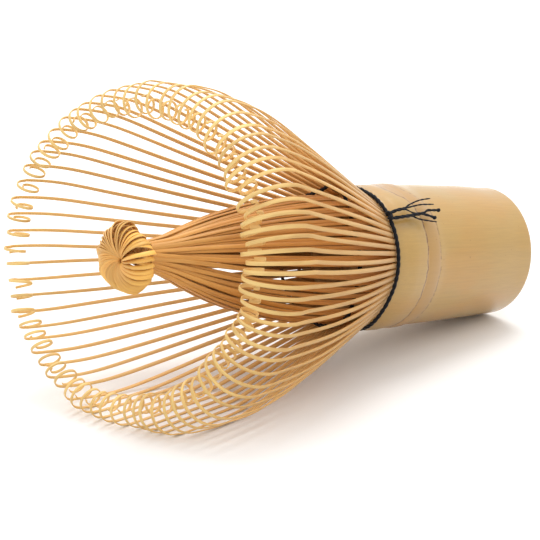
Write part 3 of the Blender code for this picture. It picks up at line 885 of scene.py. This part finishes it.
# Where the knot stands out or falls back: middle and width in degrees round the axis, rise in millimetres
KNOT_BULGES = ((22, 22, 0.5), (345, 20, -1.0), (300, 18, 0.4), (90, 30, 0.2), (180, 45, -1.2))

# Its layers of ribbons: how many, depth, further twist in degrees and seed. The outer one has a gap
KNOT_LAYERS = ((39, 0.0, 0.0, 7700), (26, 0.55 * MM, -25.0, 8800))
KNOT_GAP = 304


def knot_bulge(angle):
    degrees = math.degrees(angle)
    return sum(rise * hump(degrees, middle, width) for middle, width, rise in KNOT_BULGES) * MM


def knot_path(base, chance, depth, more_twist):
    """One ribbon of the knot: out of the neck, over the rim and spiralling into the dimple."""
    puff = chance.uniform(-0.35, 0.35) * MM
    roll_more = math.radians(chance.uniform(-10, 10))
    twist = math.radians(30 + 30 * math.cos(base - math.radians(150)) + more_twist)
    path = []
    outs = []
    widths = []
    for step in range(KNOT_STEPS + 1):
        share = step / KNOT_STEPS
        across = 2 * share - 1
        section = KNOT_REACH * across
        inward = max(0.0, across)
        angle = base - twist * across * (1.0 if share > 0.5 else 0.5)
        bulge = knot_bulge(angle) * (0.5 + 0.5 * math.cos(section))
        tube = KNOT_TUBE - depth + puff * math.sin(math.pi * share) + bulge
        ring = KNOT_RIM_RING + (KNOT_DIMPLE_RING - KNOT_RIM_RING) * max(0.0, min(1.0, (inward - 0.4) / 0.6))
        rise = tube * math.sin(section) * (1.0 if section > 0 else KNOT_BACK)
        path.append(KNOT_CENTER + around(ring + tube * math.cos(section), angle, rise))
        roll = math.radians(24 + 30 * inward) + roll_more
        flat = around(math.cos(section), angle, math.sin(section))
        outs.append(flat * math.cos(roll) + beside(angle) * math.sin(roll))
        widths.append((0.87 - 0.17 * abs(across)) * MM)
    return path, outs, widths, [0.23 * MM] * len(path)


def build_knot(colours):
    face = tinted(colours.bundle, 1.05, 1.1, 1.17)
    material = ribbon_material("bamboo_knot", face, face, colours.tine_back, 0.42)
    shapes = []
    for count, depth, more_twist, seed in KNOT_LAYERS:
        for index in range(count):
            chance = random.Random(seed + index)
            base = math.tau * index / count + math.radians(chance.uniform(-2, 2))
            tone = chance.uniform(0.82, 1.1)
            if depth == 0.0 and abs(turned(math.degrees(base), KNOT_GAP)) < 5:
                continue
            shapes.append(ribbon(*knot_path(base, chance, depth, more_twist), tone, 400 + len(shapes)))
    fixed(lay_down("knot_ribbons", joined(shapes), material), "bamboo_knot", "inner_knot")


# Thread

TIE_ANGLE = math.radians(318.0)
TURN_STEPS = 560
PLY_PITCH = 2.6 * MM
ROUTE_STEPS = 16

# Strands of the loose ends: thickness and taper, then height, angle in degrees and radius of each point
LONG_END = (
    (0.66, 0.95, ((0.3, 319.4, 13.8), (-1.46, 320.4, 14.45), (-3.5, 321.2, 14.6))),
    (0.36, 0.7, ((-3.4, 321.2, 14.6), (-4.92, 323.5, 15.0), (-7.65, 326.0, 15.3), (-10.56, 327.0, 15.4))),
    (0.36, 0.7, ((-3.4, 321.2, 14.6), (-5.58, 322.1, 14.9), (-7.7, 322.7, 15.1), (-11.04, 322.9, 15.0))),
    (0.3, 0.8, ((-3.4, 321.1, 14.6), (-4.04, 318.9, 14.75), (-4.81, 316.9, 14.8), (-6.12, 315.7, 15.0))),
)
STEM = ((0.3, 315.2, 13.8), (-1.88, 314.5, 14.5), (-4.63, 315.1, 14.7), (-6.2, 315.5, 14.9))
SHORT_END = (
    (0.7, 0.95, (*STEM, (-7.4, 315.5, 15.0))),
    (0.5, 0.95, ((-7.3, 315.6, 15.0), (-8.39, 317.3, 15.2), (-9.33, 316.9, 15.4), (-11.0, 316.7, 15.4))),
    (0.5, 0.95, ((-7.2, 315.2, 14.9), (-8.23, 313.4, 15.1), (-9.38, 311.4, 15.2))),
    (0.34, 0.7, ((-4.45, 314.6, 14.7), (-5.47, 311.6, 14.9), (-7.68, 309.4, 15.1), (-9.47, 308.2, 15.2))),
)
TIE_WRAP = ((0.75, 1.0, ((0.27, 321.1, 13.85), (0.36, 317.8, 14.0), (0.28, 314.2, 13.85))),)
KNOB_RADIUS = 0.38 * MM

# The knot's two loops: steps, share of a full turn and radius
TIE_STEPS = 40
TIE_TURN = 0.94
TIE_RADIUS = 0.38 * MM


def spot_at(table_point):
    """Place of a height, an angle in degrees and a radius, both lengths in millimetres."""
    height, degrees, radius = table_point
    return around(radius * MM, math.radians(degrees), height * MM)


def twisted(route, radius, pitch=PLY_PITCH, taper=1.0):
    """Two plies twisted closely round each other along a route."""
    shapes = []
    off = radius * 0.28
    for side in (0.0, math.pi):
        path = []
        for point, length, outward, across in frames_along(route, Vector((0.2, 0.3, 0.93)).normalized()):
            angle = math.tau * length / pitch + side
            path.append(point + (outward * math.cos(angle) + across * math.sin(angle)) * off)
        shapes.append(strand(path, radius * 0.74, taper))
    return shapes


def wobble_at(angle, depth):
    return noise.noise(Vector((math.cos(angle) * 9, math.sin(angle) * 9, depth)))


def neck_thread_point(angle, ring):
    """A point of the outer thread, which climbs the tines on the near side and hangs back at the top."""
    degrees = math.degrees(angle)
    sunk = hump(degrees, 355, 13)
    height = -0.1 + 1.9 * hump(degrees, 237, 25) + 0.25 * hump(degrees, 290, 30) - 0.4 * sunk
    wobble = 0.1 * wobble_at(angle, 0.0)
    return around(ring + (0.53 * max(0.0, height) - 0.4 * sunk + wobble) * MM, angle, (height + wobble) * MM)


def lacing_point(angle):
    """A point of the inner thread, deep in the near side of the bundle and looped over tines at the top."""
    degrees = math.degrees(angle)
    hidden = hump(degrees, 285, 58, 4)
    loops = hump(degrees, 8, 9) + hump(degrees, 352, 7)
    wobble = 0.2 * wobble_at(angle, 5.0)
    return around((12.4 - 3.6 * hidden + 1.0 * loops + wobble) * MM, angle, (5.4 + wobble) * MM)


def strands(table):
    shapes = []
    for thickness, taper, points in table:
        route = smooth_route([spot_at(point) for point in points], ROUTE_STEPS)
        shapes += twisted(route, thickness / 2 * MM, taper=taper)
    return shapes


def knob(table_row):
    """The small hard knot at the end of a strand."""
    shape = bmesh.new()
    bmesh.ops.create_icosphere(shape, subdivisions=2, radius=KNOB_RADIUS)
    grain = shape.verts.layers.float_vector.new("grain")
    for vert in shape.verts:
        vert[grain] = vert.co / MM
        vert.co *= 1 + 0.25 * noise.noise(vert.co / (0.35 * MM))
    bmesh.ops.translate(shape, vec=spot_at(table_row[2][-1]), verts=shape.verts)
    return shape


def tie_loops(center, radius):
    """The two crossing loops of the thread's knot."""
    out = around(1.0, TIE_ANGLE, 0.0)
    aside = beside(TIE_ANGLE)
    up = Vector((0.0, 0.0, 1.0))
    shapes = []
    for turn in (-1, 1):
        route = []
        for step in range(TIE_STEPS + 1):
            angle = math.tau * TIE_TURN * step / TIE_STEPS
            rising = (up + aside * 0.6 * turn).normalized()
            spot = (out * math.cos(angle) + rising * math.sin(angle)) * TIE_RADIUS
            route.append(center + spot + aside * (0.35 * turn * MM + 0.2 * MM * (step / TIE_STEPS - 0.5)))
        shapes += twisted(route, radius * 0.85, 2.4 * MM)
    return shapes


def build_threads(sizes, colours):
    radius = sizes.thread_radius
    ring = sizes.root_radius + 0.3 * MM + radius * 0.95
    turns = [TIE_ANGLE + math.tau * step / TURN_STEPS for step in range(TURN_STEPS + 1)]
    outer = [neck_thread_point(angle, ring) for angle in turns[4:-4]]
    inner = [lacing_point(angle) for angle in turns]
    center = around(ring + 0.55 * MM, TIE_ANGLE, 0.3 * MM)
    cotton = thread_material(colours)
    for name, node, shapes in (
        ("thread_round_neck", "outer_thread", twisted(outer, radius)),
        ("thread_lacing", "inner_thread", twisted(inner, radius)),
        ("thread_tie", "thread_knot", strands(TIE_WRAP) + tie_loops(center, radius)),
        ("thread_end_long", "thread_tail_long", strands(LONG_END)),
        ("thread_end_short", "thread_tail_short", strands(SHORT_END) + [knob(row) for row in SHORT_END[1:3]]),
    ):
        fixed(lay_down(name, joined(shapes), cotton), "black_cotton", node)


# Stage

# The camera's place from the middle of the thread ring, and the pixel that its fitted axis passed through
CAMERA_FROM_NECK = Vector((-323.30, -341.54, 166.42)) * MM
FITTED_AXIS_PIXEL = (302.39, 254.65)
IMAGE_PIXELS = 540


def build_camera(stage):
    """The photograph's viewpoint, turned so that the picture's middle is on the lens axis."""
    data = bpy.data.cameras.new("camera")
    data.sensor_width = 36.0
    data.lens = stage.lens
    data.clip_start = 10 * MM
    data.clip_end = 20.0
    azimuth = math.radians(stage.azimuth)
    elevation = math.radians(stage.elevation)
    right = Vector((math.cos(azimuth), math.sin(azimuth), 0.0))
    level = Vector((math.sin(azimuth), -math.cos(azimuth), 0.0))
    back = level * math.cos(elevation) + Vector((0.0, 0.0, math.sin(elevation)))
    turn = Matrix((right, back.cross(right), back)).transposed()
    focal = stage.lens / data.sensor_width * IMAGE_PIXELS
    middle = IMAGE_PIXELS / 2
    aim = Vector(((middle - FITTED_AXIS_PIXEL[0]) / focal, (FITTED_AXIS_PIXEL[1] - middle) / focal, -1.0))
    swing = Vector((0.0, 0.0, -1.0)).rotation_difference(aim.normalized()).to_matrix()
    camera = placed("camera", data)
    camera.matrix_world = Matrix.Translation(NECK + CAMERA_FROM_NECK) @ (turn @ swing).to_4x4()
    bpy.context.scene.camera = camera


# The main light comes from behind on the right
KEY_DIRECTION = Vector((0.8 * 0.46, 0.6 * 0.46, 0.888))

# Height of a direction, from nothing at the horizon to one overhead, from which the sky is at its brightest
SKY_FULL = 0.65


def build_key(stage):
    data = bpy.data.lights.new("key_light", "SUN")
    data.energy = stage.key_strength
    data.angle = math.radians(stage.key_softness)
    placed("key_light", data).rotation_euler = KEY_DIRECTION.to_track_quat("Z", "Y").to_euler()


def build_world(stage):
    """Soft light from all round, dimmer low down. The camera and the gloss see plain white."""
    world = bpy.data.worlds.new("studio")
    bpy.context.scene.world = world
    graph = Graph(world, "Background")
    height = graph.part(graph.node("ShaderNodeTexCoord", output="Generated"), "Z")
    sky = graph.step(height, 0.0, SKY_FULL, stage.sky_low, stage.sky_high)
    seen = graph.ray("Camera") + graph.ray("Glossy")
    graph.finish(Color=(1.0, 1.0, 1.0, 1.0), Strength=sky * (1.0 - seen) + seen)


def build_stage(stage):
    shape = bmesh.new()
    bmesh.ops.create_grid(shape, x_segments=8, y_segments=8, size=2.0)
    table = placed("table", made_of(shape, "table", table_material(stage)))
    build_camera(stage)
    build_key(stage)
    build_world(stage)
    bpy.context.scene.view_settings.view_transform = "Standard"


# Add-on

class WHISK_OT_handle(Operator):
    """Turn the bamboo handle with its ridge and collar"""

    bl_idname = "whisk.handle"
    bl_label = "Handle"

    def execute(self, context):
        build_handle(context.scene.whisk_sizes, context.scene.whisk_colours)
        return {"FINISHED"}


class WHISK_OT_crown(Operator):
    """Split the crown's tines and curl their tips"""

    bl_idname = "whisk.crown"
    bl_label = "Outer tines"

    def execute(self, context):
        build_crown(context.scene.whisk_sizes, context.scene.whisk_colours)
        return {"FINISHED"}


class WHISK_OT_bundle(Operator):
    """Gather the inner tines into their bundle"""

    bl_idname = "whisk.bundle"
    bl_label = "Inner tines"

    def execute(self, context):
        build_bundle(context.scene.whisk_sizes, context.scene.whisk_colours)
        return {"FINISHED"}


class WHISK_OT_knot(Operator):
    """Twist the ends of the inner tines into their knot"""

    bl_idname = "whisk.knot"
    bl_label = "Knot"

    def execute(self, context):
        build_knot(context.scene.whisk_colours)
        return {"FINISHED"}


class WHISK_OT_threads(Operator):
    """Tie the cotton thread round the neck"""

    bl_idname = "whisk.threads"
    bl_label = "Thread"

    def execute(self, context):
        build_threads(context.scene.whisk_sizes, context.scene.whisk_colours)
        return {"FINISHED"}


class WHISK_OT_stage(Operator):
    """Set the table, the lamps and the camera"""

    bl_idname = "whisk.stage"
    bl_label = "Stage"

    def execute(self, context):
        build_stage(context.scene.whisk_stage)
        return {"FINISHED"}


BUILD_OPERATORS = (
    *(WHISK_OT_handle, WHISK_OT_crown, WHISK_OT_bundle, WHISK_OT_knot, WHISK_OT_threads),
    WHISK_OT_stage,
)


GROUPS = {"whisk_sizes": WhiskSizes, "whisk_colours": WhiskColours, "whisk_stage": StageSettings}


class WHISK_PT_panel(Panel):
    """Sizes, colours and building steps of the whisk"""

    bl_label = "Matcha whisk"
    bl_idname = "WHISK_PT_panel"
    bl_space_type = "VIEW_3D"
    bl_region_type = "UI"
    bl_category = "Whisk"

    def draw(self, context):
        for group_name in GROUPS:
            group = getattr(context.scene, group_name)
            column = self.layout.column(align=True)
            for name in group.__annotations__:
                column.prop(group, name)
        for operator in BUILD_OPERATORS:
            self.layout.operator(operator.bl_idname)


CLASSES = (*GROUPS.values(), *BUILD_OPERATORS, WHISK_PT_panel)


def register():
    for item in CLASSES:
        bpy.utils.register_class(item)
    for name, group in GROUPS.items():
        setattr(bpy.types.Scene, name, PointerProperty(type=group))


def unregister():
    for name in GROUPS:
        delattr(bpy.types.Scene, name)
    for item in reversed(CLASSES):
        bpy.utils.unregister_class(item)


def main():
    register()
    bpy.ops.whisk.handle()
    bpy.ops.whisk.crown()
    bpy.ops.whisk.bundle()
    bpy.ops.whisk.knot()
    bpy.ops.whisk.threads()
    bpy.ops.whisk.stage()


if __name__ == "__main__":
    main()
